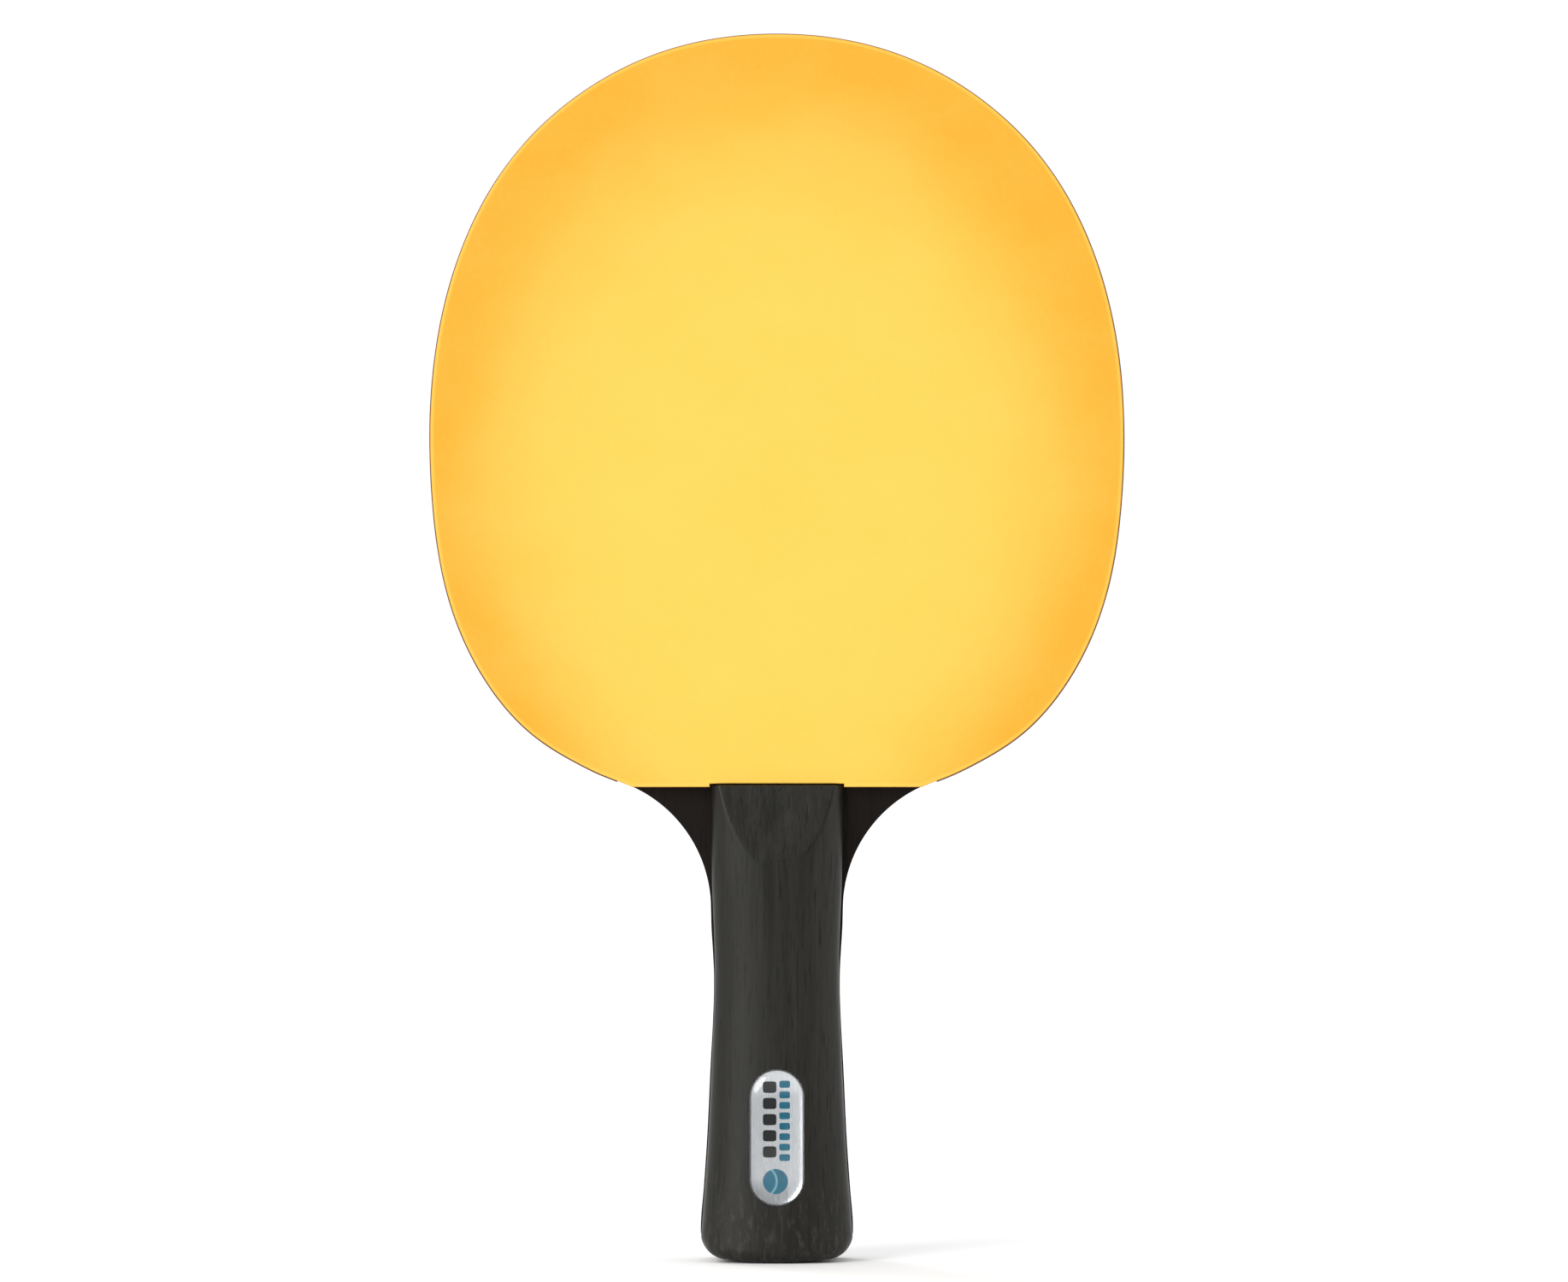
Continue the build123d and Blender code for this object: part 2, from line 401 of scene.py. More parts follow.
def stained_wood(name, dark, mid, pale, roughness, grain_scale=1.0, seed=0.0, gloss=0.35, worn=None):
    """Dark stained wood with fine streaks and pores that run up the handle.

    Wood with a worn tone is scuffed near the butt, and painted darker where the ridge shade attribute
    is 1, as a line of shade along the edge of the crown's flat and bevel.
    """
    s = Shader(name, Roughness=roughness)
    s.surface.inputs["Specular IOR Level"].default_value = gloss

    wander = s.noise(s.scaled((1, 1, 0.25), location=(seed, 0, 0)), 30.0, 2.0)
    sideways = s.band(wander, 0, 1, -1.2 * MM, 1.2 * MM)
    drift = s.add("ShaderNodeCombineXYZ", None, {0: sideways, 1: 0.0, 2: 0.0}).outputs[0]
    moved = s.add("ShaderNodeVectorMath", {"operation": "ADD"}, {0: s.place, 1: drift}).outputs[0]
    long = s.scaled((1, 1, 0.035), location=(seed, seed, seed), vector=moved)
    short = s.scaled((1, 1, 0.09), location=(seed + 1, 0, 0), vector=moved)
    streak = s.noise(long, 620.0 * grain_scale, 5.0, 0.65)
    wide = s.noise(long, 130.0 * grain_scale, 3.0, 0.55)
    fibre = s.noise(short, 2600.0 * grain_scale, 3.0, 0.6)
    pores = s.noise(short, 1500.0 * grain_scale, 2.0, 0.5)
    pores = s.ramp(pores, [(0.34, 0.0), (0.44, 1.0)])
    blotch = s.noise(s.scaled((1, 1, 0.6), location=(seed, 2, 0)), 60.0, 4.0, 0.6)

    tone = s.math("ADD", s.band(streak, 0.3, 0.7, 0.0, 0.5), s.band(wide, 0.3, 0.7, 0.0, 0.35))
    tone = s.math("ADD", tone, s.band(fibre, 0.3, 0.7, 0.0, 0.15))
    colour = s.ramp(tone, [(0.12, dark), (0.5, mid), (0.92, pale)])
    colour = s.mix(s.band(blotch, 0.3, 0.75, 0.0, 0.35), colour, mid)
    colour = s.mix(s.math("SUBTRACT", 1.0, pores, clamp=True), colour, dark)
    if worn:
        _, _, z = s.split()
        scuff = s.noise(s.scaled((1, 1, 0.3), location=(7, 0, 0)), 900.0, 4.0, 0.7)
        scuff = s.math("MULTIPLY", s.band(scuff, 0.52, 0.72), s.band(z, 0.022, 0.004))
        colour = s.mix(s.math("MULTIPLY", scuff, 0.5), colour, worn)
        # A painted line of shade along the edge where the flat and the bevel meet the crown
        ridge_shade = s.math("MULTIPLY", s.attribute("ridge_shade"), s.band(blotch, 0.25, 0.6, 0.5, 1.0))
        colour = s.mix(s.math("MULTIPLY", ridge_shade, 0.7), colour, dark)

    rough_streak = s.band(streak, 0.3, 0.7, roughness - 0.06, roughness + 0.08)
    rough = s.math("ADD", rough_streak, s.band(blotch, 0.3, 0.7, -0.04, 0.04))
    height = s.math("ADD", s.math("MULTIPLY", streak, 0.6), s.math("MULTIPLY", pores, 0.5))
    height = s.math("ADD", height, s.math("MULTIPLY", fibre, 0.25))
    normal = s.bump(height, 0.55, 0.05 * MM)
    return s.feed(Base_Color=colour, Roughness=rough, Normal=normal)


def tape_film(name, dark, pale):
    """Matt film with a fine rib along it, rubbed paler in places."""
    s = Shader(name, Roughness=0.6)
    s.surface.inputs["Specular IOR Level"].default_value = 0.2
    rib_pitch = 0.5 * MM
    _, y, _ = s.split()
    weave = s.noise(s.scaled((1, 1.6, 1)), 2300.0, 3.0, 0.6)
    rub = s.noise(s.scaled((1, 1, 1), location=(0, 0, 4)), 120.0, 4.0, 0.6)
    ribs = s.math("SINE", s.math("MULTIPLY", y, 2 * math.pi / rib_pitch))
    colour = s.mix(s.band(weave, 0.3, 0.7, 0.0, 0.45), dark, pale)
    colour = s.mix(s.band(rub, 0.5, 0.8, 0.0, 0.4), colour, pale)
    rough = s.band(rub, 0.3, 0.7, 0.45, 0.65)
    normal = s.bump(s.math("ADD", s.math("MULTIPLY", ribs, 0.15), weave), 0.5, 0.04 * MM)
    return s.feed(Base_Color=colour, Roughness=rough, Normal=normal)


# The badge's print: a column of dark strokes, one of blue-green strokes, and a ball with a seam
BALL_X = -0.0003
BALL_Z = 0.0173
BALL_RADIUS = 0.0026
SEAM_SHIFT = 1.15
SEAM_RADIUS = 1.25
SEAM_HALF_WIDTH = 0.09
STROKE_SQUARENESS = 5.0


def printed_foil(name):
    """Brushed silver film printed with a generic pattern: two columns of strokes and a ball."""
    s = Shader(name, Metallic=1.0, Roughness=0.32)
    s.surface.inputs["Specular IOR Level"].default_value = 0.12
    x, _, z = s.split()
    silver, brushed = (0.74, 0.75, 0.76, 1), (0.6, 0.61, 0.63, 1)
    black, teal, pale_teal = (0.003, 0.003, 0.004, 1), srgb(0, 118, 146), srgb(130, 195, 210)

    def offset(value, middle, size):
        return s.math("DIVIDE", s.math("SUBTRACT", value, middle), size)

    def column(centre, half_width, low, strokes, pitch, duty):
        """Rounded strokes stacked up the badge from low, each filling duty of its pitch."""
        phase = offset(z, low, pitch)
        inside = s.math("COMPARE", phase, strokes / 2, strokes / 2)
        up = s.math("SUBTRACT", s.math("FRACT", phase), 0.5)
        reach_z = s.math("DIVIDE", s.math("ABSOLUTE", up), duty / 2)
        sideways = s.math("ABSOLUTE", s.math("SUBTRACT", x, centre))
        reach_x = s.math("DIVIDE", sideways, half_width)
        round_x = s.math("POWER", reach_x, STROKE_SQUARENESS)
        round_z = s.math("POWER", reach_z, STROKE_SQUARENESS)
        stroke = s.math("LESS_THAN", s.math("ADD", round_x, round_z), 1.0)
        return s.math("MULTIPLY", inside, stroke)

    first = column(-0.00150, 0.00140, low=0.0218, strokes=5, pitch=0.0034, duty=0.70)
    second = column(0.00160, 0.00110, low=0.0212, strokes=8, pitch=0.0022, duty=0.66)
    ball_x, ball_z = offset(x, BALL_X, BALL_RADIUS), offset(z, BALL_Z, BALL_RADIUS)
    ball = s.math("LESS_THAN", s.distance(ball_x, ball_z), 1.0)
    seam_reach = s.distance(s.math("ADD", ball_x, SEAM_SHIFT), ball_z)
    seam = s.math("COMPARE", seam_reach, SEAM_RADIUS, SEAM_HALF_WIDTH)
    seam = s.math("MULTIPLY", ball, seam)

    hair = s.noise(s.scaled((1, 1, 0.03)), 3000.0, 3.0, 0.6)
    colour = s.mix(s.band(hair, 0.3, 0.7, 0.0, 0.16), silver, brushed)
    for mask, ink_colour in ((first, black), (second, teal), (ball, teal), (seam, pale_teal)):
        colour = s.mix(mask, colour, ink_colour)
    ink = s.math("MAXIMUM", s.math("MAXIMUM", first, second), ball)
    metal = s.math("SUBTRACT", 1.0, ink)
    rough = s.math("ADD", s.band(hair, 0.3, 0.7, 0.24, 0.34), s.math("MULTIPLY", ink, 0.12))
    normal = s.bump(hair, 0.2, 0.01 * MM)
    return s.feed(Base_Color=colour, Metallic=metal, Roughness=rough, Normal=normal)


def clear_resin(name):
    s = Shader(name, Roughness=0.03, IOR=1.49, Transmission_Weight=1.0)
    s.surface.inputs["Base Color"].default_value = (0.97, 0.985, 1.0, 1)
    smear = s.noise(s.scaled((1, 1, 0.5)), 160.0, 3.0, 0.6)
    rough = s.band(smear, 0.4, 0.8, 0.02, 0.09)
    normal = s.bump(smear, 0.05, 0.05 * MM)
    return s.feed(Roughness=rough, Normal=normal)


# In both rubbers the paler centre colour paints a pool of light, the rim colour a highlight and the
# cut colour shade
front_rubber = rubber_sheet(
    "front_rubber",
    centre=srgb(240, 194, 76),
    edge=srgb(236, 162, 31),
    fleck=srgb(248, 216, 120),
    rim_highlight_tone=srgb(244, 200, 84),
    cut_shade_tone=srgb(168, 96, 52),
    roughness=0.48,
    mottle=0.10,
)
back_rubber = rubber_sheet(
    "back_rubber",
    centre=srgb(22, 22, 23),
    edge=srgb(18, 18, 19),
    fleck=srgb(44, 44, 46),
    rim_highlight_tone=srgb(36, 36, 38),
    cut_shade_tone=srgb(12, 12, 13),
    roughness=0.34,
    mottle=0.60,
)
front_foam = foam("front_foam", light=srgb(244, 160, 60), dark=srgb(190, 100, 30))
back_foam = foam("back_foam", light=srgb(226, 196, 130), dark=srgb(170, 135, 80))
handle_wood = stained_wood(
    "handle_wood",
    dark=srgb(12, 12, 9),
    mid=srgb(25, 24, 18),
    pale=srgb(40, 38, 31),
    roughness=0.42,
    gloss=0.28,
    worn=srgb(78, 74, 66),
)
wing_wood = stained_wood(
    "wing_wood",
    dark=srgb(7, 5, 3),
    mid=srgb(18, 11, 7),
    pale=srgb(36, 23, 15),
    roughness=0.6,
    seed=5.0,
    gloss=0.13,
)
inner_wood = stained_wood(
    "inner_wood",
    dark=srgb(40, 29, 21),
    mid=srgb(66, 47, 34),
    pale=srgb(92, 68, 50),
    roughness=0.6,
    grain_scale=1.2,
    seed=9.0,
)
core_wood = stained_wood(
    "core_wood",
    dark=srgb(70, 52, 37),
    mid=srgb(104, 80, 58),
    pale=srgb(138, 110, 82),
    roughness=0.62,
    grain_scale=0.8,
    seed=13.0,
)
tape = tape_film("tape_film", dark=srgb(66, 35, 18), pale=srgb(106, 64, 38))
foil = printed_foil("badge_film")
resin = clear_resin("badge_resin")

nodes["badge_foil"].data.materials.clear()
nodes["badge_foil"].data.materials.append(foil)

# ---------------------------------------------------------------- blade

PLY_ROUND = 0.22 * MM


def build_ply(name, node, material, outer=0):
    """One ply of the blade; an outer ply's edge is sanded round on the side that outer points to."""
    low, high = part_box(node)[0][1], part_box(node)[1][1]
    ring = densify(ring_of(node, high), 1.0 * MM)
    edge = rounded_edge(PLY_ROUND)
    profile = [(0.0, low), (0.0, high)]
    if outer > 0:
        profile = [(0.0, low)] + [(inset, high - drop) for inset, drop in edge]
    elif outer < 0:
        profile = [(inset, low + drop) for inset, drop in reversed(edge)] + [(0.0, high)]
    vertices, faces = slab(ring, profile, 1)
    make_piece(name, vertices, faces, material, node)


build_ply("core_ply", "blade_core_ply", core_wood)
build_ply("front_inner_ply", "blade_front_inner_ply", inner_wood)
build_ply("back_inner_ply", "blade_back_inner_ply", inner_wood)
build_ply("front_outer_ply", "blade_front_outer_ply", wing_wood, -1)
build_ply("back_outer_ply", "blade_back_outer_ply", wing_wood, 1)

# ---------------------------------------------------------------- rubbers

SHEET_ROUND = 0.28 * MM
PIP_TIP_RADIUS = 0.80 * MM
PIP_ROOT_RADIUS = 0.90 * MM
PIP_SIDES = 10
PIP_SINK = 0.05 * MM
PIP_TIP_GAP = 0.01 * MM
PIP_RIM_GAP = 0.03 * MM
PIP_LEAST_INSIDE = 0.25 * MM
FIRST_ROW_UP = 0.5 * MM

head_ring = densify(ring_of("back_topsheet", SHEET_Y), 1.3 * MM)
ring_angles = np.arctan2(head_ring[:, 1] - HEAD_MID_Z, head_ring[:, 0])
ring_radii = np.hypot(head_ring[:, 0], head_ring[:, 1] - HEAD_MID_Z)
by_angle = np.argsort(ring_angles)


def rim_radius(angle):
    return np.interp(angle, ring_angles[by_angle], ring_radii[by_angle], period=2 * math.pi)


def pip_centres():
    """Staggered rows of pips over the head, also those that its rim cuts through."""
    row_step = PIP_PITCH * math.sqrt(3) / 2
    rows = int((head_ring[:, 1].max() - HEAD_LOW_Z) / row_step) + 1
    columns = int(head_ring[:, 0].max() / PIP_PITCH) + 2
    centres = []
    for row in range(rows):
        z = HEAD_LOW_Z + FIRST_ROW_UP + row * row_step
        shift = PIP_PITCH / 2 if row % 2 else 0.0
        for column in range(-columns, columns + 1):
            x = column * PIP_PITCH + shift
            limit = rim_radius(math.atan2(z - HEAD_MID_Z, x)) - PIP_LEAST_INSIDE
            if math.hypot(x, z - HEAD_MID_Z) < limit:
                centres.append((x, z))
    return centres


def add_pips(vertices, faces, side):
    """The pips, cut at the rim as the sheet's edge cuts them."""
    turns = [2 * math.pi * k / PIP_SIDES for k in range(PIP_SIDES)]
    levels = [
        (PIP_ROOT_RADIUS, PIP_TOP_Y + PIP_SINK),
        (PIP_TIP_RADIUS, SPONGE_Y + PIP_TIP_GAP),
    ]
    for x, z in pip_centres():
        faces += loft_faces(PIP_SIDES, len(levels), base=len(vertices))
        for radius, depth in levels:
            for turn in turns:
                px, pz = x + radius * math.cos(turn), z + radius * math.sin(turn)
                dx, dz = px, pz - HEAD_MID_Z
                reach = math.hypot(dx, dz)
                limit = rim_radius(math.atan2(dz, dx)) - PIP_RIM_GAP
                if reach > limit:
                    px, pz = dx * limit / reach, HEAD_MID_Z + dz * limit / reach
                vertices.append((px, side * depth, pz))


def build_topsheet(name, side, material, node):
    """The sheet with its rounded rim, and the pips under it."""
    profile = [(0.0, PIP_TOP_Y)]
    profile += [(inset, SHEET_Y - drop) for inset, drop in rounded_edge(SHEET_ROUND)]
    profile += [(0.5 * MM, SHEET_Y), (0.9 * MM, SHEET_Y)]
    # Rim values: positive paints a highlight on the rounded edge, negative paints shade on the cut
    # side and the pips
    rim_values = [-1.0, -1.0, -0.7, -0.2, 0.4, 1.0, 0.9, 0.0]
    pip_shade_value = -0.5
    vertices, faces = slab(head_ring, profile, side)
    rim = np.repeat(rim_values, len(head_ring)).tolist()
    add_pips(vertices, faces, side)
    rim += [pip_shade_value] * (len(vertices) - len(rim))
    make_piece(name, vertices, faces, material, node, values={"rim": rim})


build_topsheet("front_rubber", -1, front_rubber, "front_topsheet")
build_topsheet("back_rubber", 1, back_rubber, "back_topsheet")

# ---------------------------------------------------------------- sponges

SPONGE_ROWS = 7
SPONGE_INSET = 0.02 * MM
SPONGE_GLUED_PITS = 0.2
CELL_SCALE = 2600
CELL_LEAST = 0.35
CELL_DEPTH = 0.10
HOLLOW_SCALE = 1100
HOLLOW_DEPTH = 0.12


def pit_depth(x, y, z, seed):
    """How deep, in millimetres, the open cells pit the foam's cut rim at a point."""
    cell = noise.cell(Vector((x * CELL_SCALE, y * CELL_SCALE + seed, z * CELL_SCALE)))
    hollow = noise.noise(Vector((x * HOLLOW_SCALE, y * HOLLOW_SCALE + seed, z * HOLLOW_SCALE)))
    return max(0.0, cell - CELL_LEAST) * CELL_DEPTH + max(0.0, hollow) * HOLLOW_DEPTH


def build_sponge(name, side, material, node, seed):
    """A slab of foam whose cut rim is pitted with open cells, less so where it is glued."""
    ring = densify(ring_of("back_sponge", SPONGE_Y), 0.4 * MM)
    profile = []
    for row in range(SPONGE_ROWS):
        depth = BLADE_Y + (SPONGE_Y - BLADE_Y) * row / (SPONGE_ROWS - 1)
        pits = np.array([pit_depth(x, depth, z, seed) for x, z in ring])
        share = SPONGE_GLUED_PITS if row in (0, SPONGE_ROWS - 1) else 1.0
        profile.append((pits * MM * share + SPONGE_INSET, depth))
    vertices, faces = slab(ring, profile, side)
    piece = make_piece(name, vertices, faces, material, node, 60)


build_sponge("front_foam", -1, front_foam, "front_sponge", 0.0)
build_sponge("back_foam", 1, back_foam, "back_sponge", 31.0)

# ---------------------------------------------------------------- edge tape

# The strip's section: (out from the rim in millimetres, across in half widths)
TAPE_SECTION = [
    (0.0, -1.0),
    (0.12, -1.02),
    (0.26, -0.995),
    (0.30, -0.96),
    (0.30, -0.5),
    (0.30, 0.0),
    (0.30, 0.5),
    (0.30, 0.96),
    (0.26, 0.995),
    (0.12, 1.02),
    (0.0, 1.0),
    (0.0, 0.5),
    (0.0, 0.0),
    (0.0, -0.5),
]
TAPE_END_UP = 1.0 * MM
TAPE_WAVER = 0.012
TAPE_LIFT = 0.03


def build_tape():
    """A film strip around the head, with soft edges that waver a little."""
    curved = densify(ring_of("back_topsheet", SHEET_Y), 1.0 * MM)
    curved = curved[curved[:, 1] > HEAD_LOW_Z + TAPE_END_UP]
    down = math.radians(-90)
    angles = np.arctan2(curved[:, 1] - HEAD_MID_Z, curved[:, 0])
    curved = curved[np.argsort((angles - down) % (2 * math.pi))]
    along = np.gradient(curved, axis=0)
    along /= np.linalg.norm(along, axis=1)[:, None]
    outward = np.stack([along[:, 1], -along[:, 0]], 1)
    vertices = []
    for i, ((x, z), (nx, nz)) in enumerate(zip(curved, outward)):
        waver = TAPE_WAVER * noise.noise(Vector((i * 0.06, 0, 0)))
        lower = TAPE_LIFT * max(0.0, noise.noise(Vector((i * 0.09, 7, 0))))
        for off, across in TAPE_SECTION:
            share = abs(across) - TAPE_WAVER + (waver if abs(across) > 0.9 else 0)
            y = math.copysign(share * TAPE_HALF, across) if across else 0.0
            out = off * MM - (lower * MM if off > 0.2 else 0)
            vertices.append((x + nx * out, y, z + nz * out))
    faces = loft_faces(len(TAPE_SECTION), len(curved))
    make_piece("head_edge_tape", vertices, faces, tape, "edge_tape")


build_tape()

# ---------------------------------------------------------------- handle

# All in millimetres. Sections of a scale: (height, half width, thickness at the crown)
SECTIONS = [
    (-1.0, 16.5, 9.7),
    (10.0, 15.7, 9.45),
    (24.0, 14.65, 9.1),
    (44.0, 13.7, 8.5),
    (62.0, 13.15, 8.1),
    (84.0, 13.85, 8.2),
    (102.0, 13.9, 8.2),
]
SIDE_WALL = 1.5
SCALE_TOP = NOSE_Z / MM

# The bevel on the nose, and the shallow flat below it, which leans to one side
NOSE_THICK = 4.6
BEVEL_Z = 84.8
BEVEL_THICK = 7.85
FACET_Z = 58.0
FACET_THICK = 8.2
FACET_LEAN = 0.045
FACET_START_Z = FACET_Z - 6
CUT_SOFTNESS = 0.05
BEVEL_SOFTNESS = 0.06
# The painted shade line along that edge: its width, its share on the left side, the height where it
# starts to strengthen and the rise over which it reaches full
RIDGE_SHADE_WIDTH = 0.14
RIDGE_SHADE_LEFT = 0.4
RIDGE_SHADE_FROM_Z = 76
RIDGE_SHADE_RISE = 10

BUTT_ROUND = 2.4
BUTT_ARC = 90.0
BUTT_CORNER = 6.0
BUTT_HALF = 16.2
BUTT_OUTER = BUTT_HALF - 0.2
NOSE_ROUND = 0.25

# How finely a scale is divided
ARC_STEPS = 88
GRIP_ROWS = 230
BUTT_ROWS = 6
ROUND_ROWS = 7
NOSE_ROWS = 4


def section_at(z):
    """Half width and crown thickness at a height, on a smooth curve through the sections."""
    heights = [s[0] for s in SECTIONS]
    last = len(SECTIONS) - 1
    i = min(max(np.searchsorted(heights, z) - 1, 0), last - 1)
    before, start, end, beyond = (SECTIONS[k] for k in (max(i - 1, 0), i, i + 1, min(i + 2, last)))
    span = end[0] - start[0]
    t = (z - start[0]) / span
    values = []
    for k in (1, 2):
        start_slope = (end[k] - before[k]) / (end[0] - before[0]) * span
        end_slope = (beyond[k] - start[k]) / (beyond[0] - start[0]) * span
        values.append(hermite(t, start[k], start_slope, end[k], end_slope))
    return values


def butt_height(x):
    """Height of the convex butt at x, with its rounded corners."""
    x = abs(x)
    corner_x = BUTT_HALF - BUTT_CORNER
    if x <= corner_x:
        return BUTT_ARC - math.sqrt(BUTT_ARC**2 - x**2)
    centre_z = BUTT_ARC - math.sqrt(BUTT_ARC**2 - corner_x**2) + BUTT_CORNER
    return centre_z - math.sqrt(max(BUTT_CORNER**2 - (x - corner_x) ** 2, 0.0))


def soft_min(a, b, softness):
    gap = max(softness - abs(a - b), 0.0) / softness
    return min(a, b) - gap * gap * softness / 4


def cut_thickness(x, z):
    """How thick the scale may be there: the shallow flat on the crown, and the nose's bevel."""
    along_facet = (z - FACET_Z) / (BEVEL_Z - FACET_Z)
    along_bevel = (z - BEVEL_Z) / (SCALE_TOP - BEVEL_Z)
    facet = FACET_THICK + (BEVEL_THICK - FACET_THICK) * along_facet - FACET_LEAN * x
    bevel = BEVEL_THICK + (NOSE_THICK - BEVEL_THICK) * along_bevel
    return soft_min(facet, bevel, BEVEL_SOFTNESS)


def oval_point(u, wall, z):
    """x and thickness on the oval, u being -1 to 1 across it; a wall of 0 to 1 is on its side wall."""
    half, crown = section_at(z)
    if wall is None:
        return half * u, SIDE_WALL + (crown - SIDE_WALL) * math.sqrt(max(1 - u * u, 0.0))
    return half * u, SIDE_WALL * wall


def scale_column(u, wall):
    """One line of points (x, thickness, height, painted ridge shade) round a scale, from butt to nose.
    """
    low = butt_height(u * BUTT_OUTER)
    x, thick = oval_point(u, wall, low)
    round_radius = min(BUTT_ROUND, 0.6 * thick)
    points = [(x, (thick - round_radius) * k / BUTT_ROWS, low, 0.0) for k in range(BUTT_ROWS)]
    for k in range(ROUND_ROWS):
        turn = math.radians(90) * k / ROUND_ROWS
        z = low + round_radius * (1 - math.cos(turn))
        x, thick = oval_point(u, wall, z)
        points.append((x, thick - round_radius * (1 - math.sin(turn)), z, 0.0))
    start = low + round_radius
    for k in range(GRIP_ROWS + 1):
        z = start + (SCALE_TOP - NOSE_ROUND - start) * k / GRIP_ROWS
        x, thick = oval_point(u, wall, z)
        # How strongly the edge of the cut is painted with shade at this point
        ridge_shade = 0.0
        if z > FACET_START_Z:
            limit = cut_thickness(x, z)
            near_nose = min(1.0, (z - RIDGE_SHADE_FROM_Z) / RIDGE_SHADE_RISE)
            fade = max(RIDGE_SHADE_LEFT if x < 0 else 0.0, near_nose)
            ridge_shade = fade * math.exp(-(((thick - limit) / RIDGE_SHADE_WIDTH) ** 2))
            thick = soft_min(thick, limit, CUT_SOFTNESS)
        points.append((x, thick, z, ridge_shade))
    nose_drop = min(NOSE_ROUND, 0.5 * thick)
    points.append((x, thick - 0.3 * nose_drop, SCALE_TOP - 0.08, 0.0))
    for k in range(NOSE_ROWS + 1):
        points.append((x, (thick - nose_drop) * (1 - k / NOSE_ROWS), SCALE_TOP, 0.0))
    return points


def build_scale(name, side):
    """Half of the grip: an oval that is rounded at the butt, and cut by the flat and the bevel."""
    columns = [(-1.0, 0.0), (-1.0, 0.5), (-1.0, 1.0)]
    columns += [(-math.cos(math.pi * k / ARC_STEPS), None) for k in range(1, ARC_STEPS)]
    columns += [(1.0, 1.0), (1.0, 0.5), (1.0, 0.0)]
    points = [point for u, wall in columns for point in scale_column(u, wall)]
    size, last = len(points) // len(columns), len(columns) - 1
    vertices = [(x * MM, side * (BLADE_Y + max(t, 0.0) * MM), z * MM) for x, t, z, _ in points]
    faces = []
    for c in range(last):
        for k in range(size - 1):
            this, after = c * size + k, (c + 1) * size + k
            faces.append((this, this + 1, after + 1, after))
    under = list(range(size))
    under += [c * size + size - 1 for c in range(1, last + 1)]
    under += [last * size + k for k in range(size - 2, -1, -1)]
    under += [c * size for c in range(last - 1, 0, -1)]
    faces.append(tuple(under))
    return new_object(name, vertices, faces, 2e-6, {"ridge_shade": [point[3] for point in points]})


# ---------------------------------------------------------------- badge

foil_low, foil_high = (Vector(corner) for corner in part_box("badge_foil"))
BADGE_TILT = math.radians(1.6)
BADGE_LENGTH = 28.9 * MM
BADGE_RADIUS = (foil_high.x - foil_low.x) / 2
BADGE_RUN = (BADGE_LENGTH - 2 * BADGE_RADIUS) / 2
BADGE_NORMAL = Vector((0, -math.cos(BADGE_TILT), math.sin(BADGE_TILT)))
BADGE_UP = Vector((0, math.sin(BADGE_TILT), math.cos(BADGE_TILT)))
BADGE_FLOOR = Vector((0, -11.1 * MM, 26.5 * MM))
BADGE_STEPS = 40
BADGE_POINTS = 2 * BADGE_STEPS + 2

POCKET_CLEARANCE = 0.1 * MM
POCKET_REACH = 6 * MM
DOME_INSET = 0.02 * MM
DOME_BASE = 0.17 * MM
DOME_RISE = 1.58 * MM
DOME_FULLNESS = 2.3
DOME_LEVELS = 18


def stadium(radius, height):
    """Points of a stadium on the badge's plane, raised by height."""
    points = []
    for k in range(BADGE_POINTS):
        end = 1 if k <= BADGE_STEPS else -1
        turn = math.pi * (k if end > 0 else k - 1) / BADGE_STEPS
        across, along = radius * math.cos(turn), end * BADGE_RUN + radius * math.sin(turn)
        points.append(
            BADGE_FLOOR + Vector((across, 0, 0)) + BADGE_UP * along + BADGE_NORMAL * height
        )
    return points


def build_dome():
    """The clear lens over the foil, a little fuller than an ellipse."""
    radius = BADGE_RADIUS - DOME_INSET
    vertices = []
    for level in range(DOME_LEVELS):
        turn = math.radians(88) * level / (DOME_LEVELS - 1)
        across = math.cos(turn) ** (2 / DOME_FULLNESS)
        up = math.sin(turn) ** (2 / DOME_FULLNESS)
        vertices += stadium(radius * across, DOME_BASE + DOME_RISE * up)
    faces = loft_faces(BADGE_POINTS, DOME_LEVELS)
    make_piece("badge_clear_dome", vertices, faces, resin, "badge_dome", 50)


def cut_pocket(scale):
    """Cut the badge's pocket into the scale."""
    radius = BADGE_RADIUS + POCKET_CLEARANCE
    vertices = stadium(radius, 0.0) + stadium(radius, POCKET_REACH)
    cutter = new_object("cutter", vertices, loft_faces(BADGE_POINTS, 2))
    cut = scale.modifiers.new("pocket", "BOOLEAN")
    cut.operation = "DIFFERENCE"
    cut.solver = "EXACT"
    cut.object = cutter
    bpy.context.view_layer.update()
    solid = scale.evaluated_get(bpy.context.evaluated_depsgraph_get())
    mesh = bpy.data.meshes.new_from_object(solid)
    scale.modifiers.clear()
    scale.data = mesh
    bpy.data.objects.remove(cutter)


front_scale = build_scale("handle_front", -1)
cut_pocket(front_scale)
finish_piece(front_scale, handle_wood, "handle_front_scale", 35)
back_scale = build_scale("handle_back", 1)
finish_piece(back_scale, handle_wood, "handle_back_scale", 35)
build_dome()

# ---------------------------------------------------------------- stage and light

FLOOR_HALF = 6.0
FLOOR_Z = -0.0001

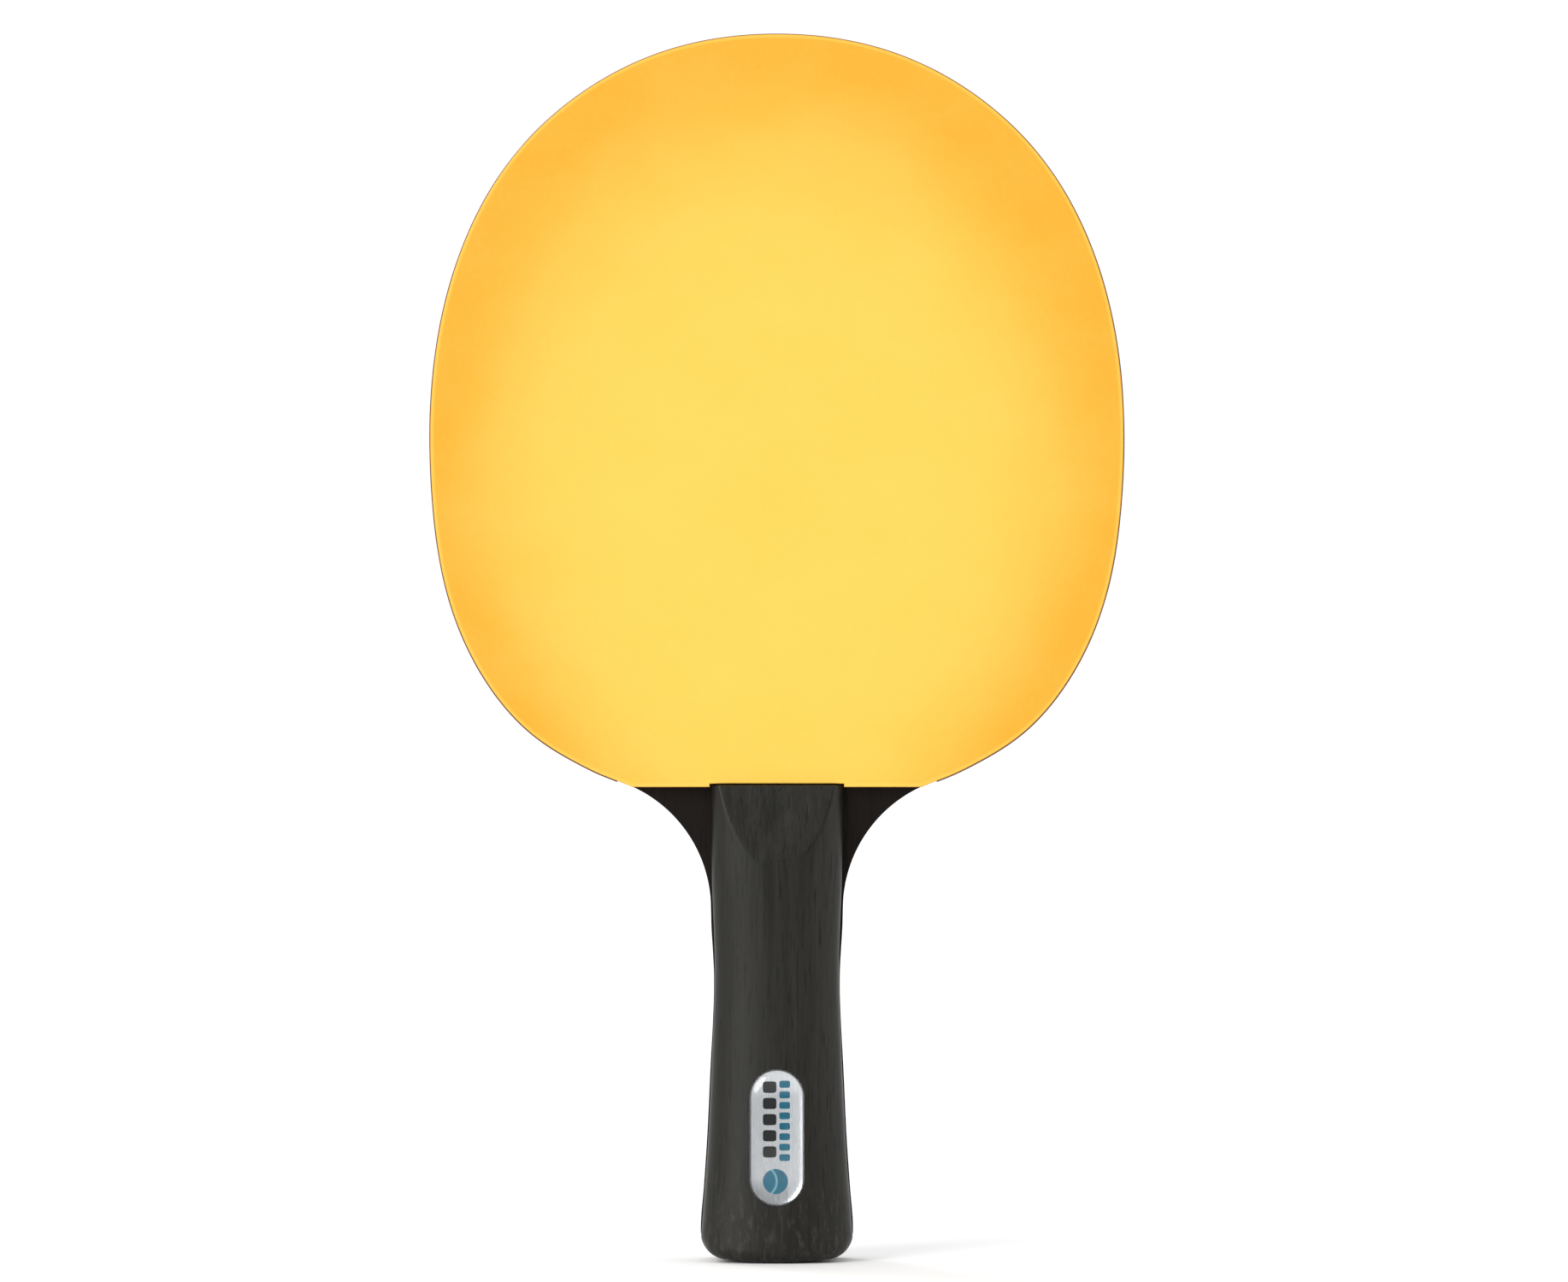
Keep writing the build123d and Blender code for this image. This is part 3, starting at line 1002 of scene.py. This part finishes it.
corners = [(-1, -1), (1, -1), (1, 1), (-1, 1)]
floor_corners = [(x * FLOOR_HALF, y * FLOOR_HALF, FLOOR_Z) for x, y in corners]
floor_mesh = bpy.data.meshes.new("floor")
floor_mesh.from_pydata(floor_corners, [], [(0, 1, 2, 3)])
floor = bpy.data.objects.new("floor", floor_mesh)
bpy.context.scene.collection.objects.link(floor)
paper = Shader("paper_floor", Roughness=0.9)
fibres = paper.noise(paper.scaled((1, 1, 1)), 40.0, 3.0)
paper_colour = paper.ramp(fibres, [(0.0, 0.90), (1.0, 0.93)])
floor_mesh.materials.append(paper.feed(Base_Color=paper_colour))

# The studio is brighter behind the object than in front of it
world = bpy.data.worlds.new("studio")
world.use_nodes = True
sky = world.node_tree
sky_place = sky.nodes.new("ShaderNodeTexCoord").outputs["Generated"]
sky_split = sky.nodes.new("ShaderNodeSeparateXYZ")
sky.links.new(sky_place, sky_split.inputs[0])
sky_range = sky.nodes.new("ShaderNodeMapRange")
sky_range.interpolation_type = "SMOOTHSTEP"
sky.links.new(sky_split.outputs[1], sky_range.inputs["Value"])
for key, value in {"From Min": -1.0, "From Max": 0.1, "To Min": 0.35, "To Max": 1.04}.items():
    sky_range.inputs[key].default_value = value
sky.links.new(sky_range.outputs[0], sky.nodes["Background"].inputs["Strength"])
sky.nodes["Background"].inputs["Color"].default_value = (1, 1, 1, 1)
bpy.context.scene.world = world


def soft_light(name, direction, spread, strength):
    """A sun that shines along the direction, with soft shadows from its spread in degrees."""
    data = bpy.data.lights.new(name, "SUN")
    data.angle = math.radians(spread)
    data.energy = strength
    light = bpy.data.objects.new(name, data)
    light.rotation_euler = Vector(direction).to_track_quat("-Z", "Y").to_euler()
    bpy.context.scene.collection.objects.link(light)


soft_light("key", (0.62, 0.8, -0.42), 34, 1.95)
soft_light("fill", (-0.85, 0.35, -0.5), 60, 0.30)
soft_light("back", (0.55, -0.75, -0.5), 25, 0.8)

bpy.context.scene.view_settings.view_transform = "Standard"
bpy.context.scene.view_settings.look = "None"
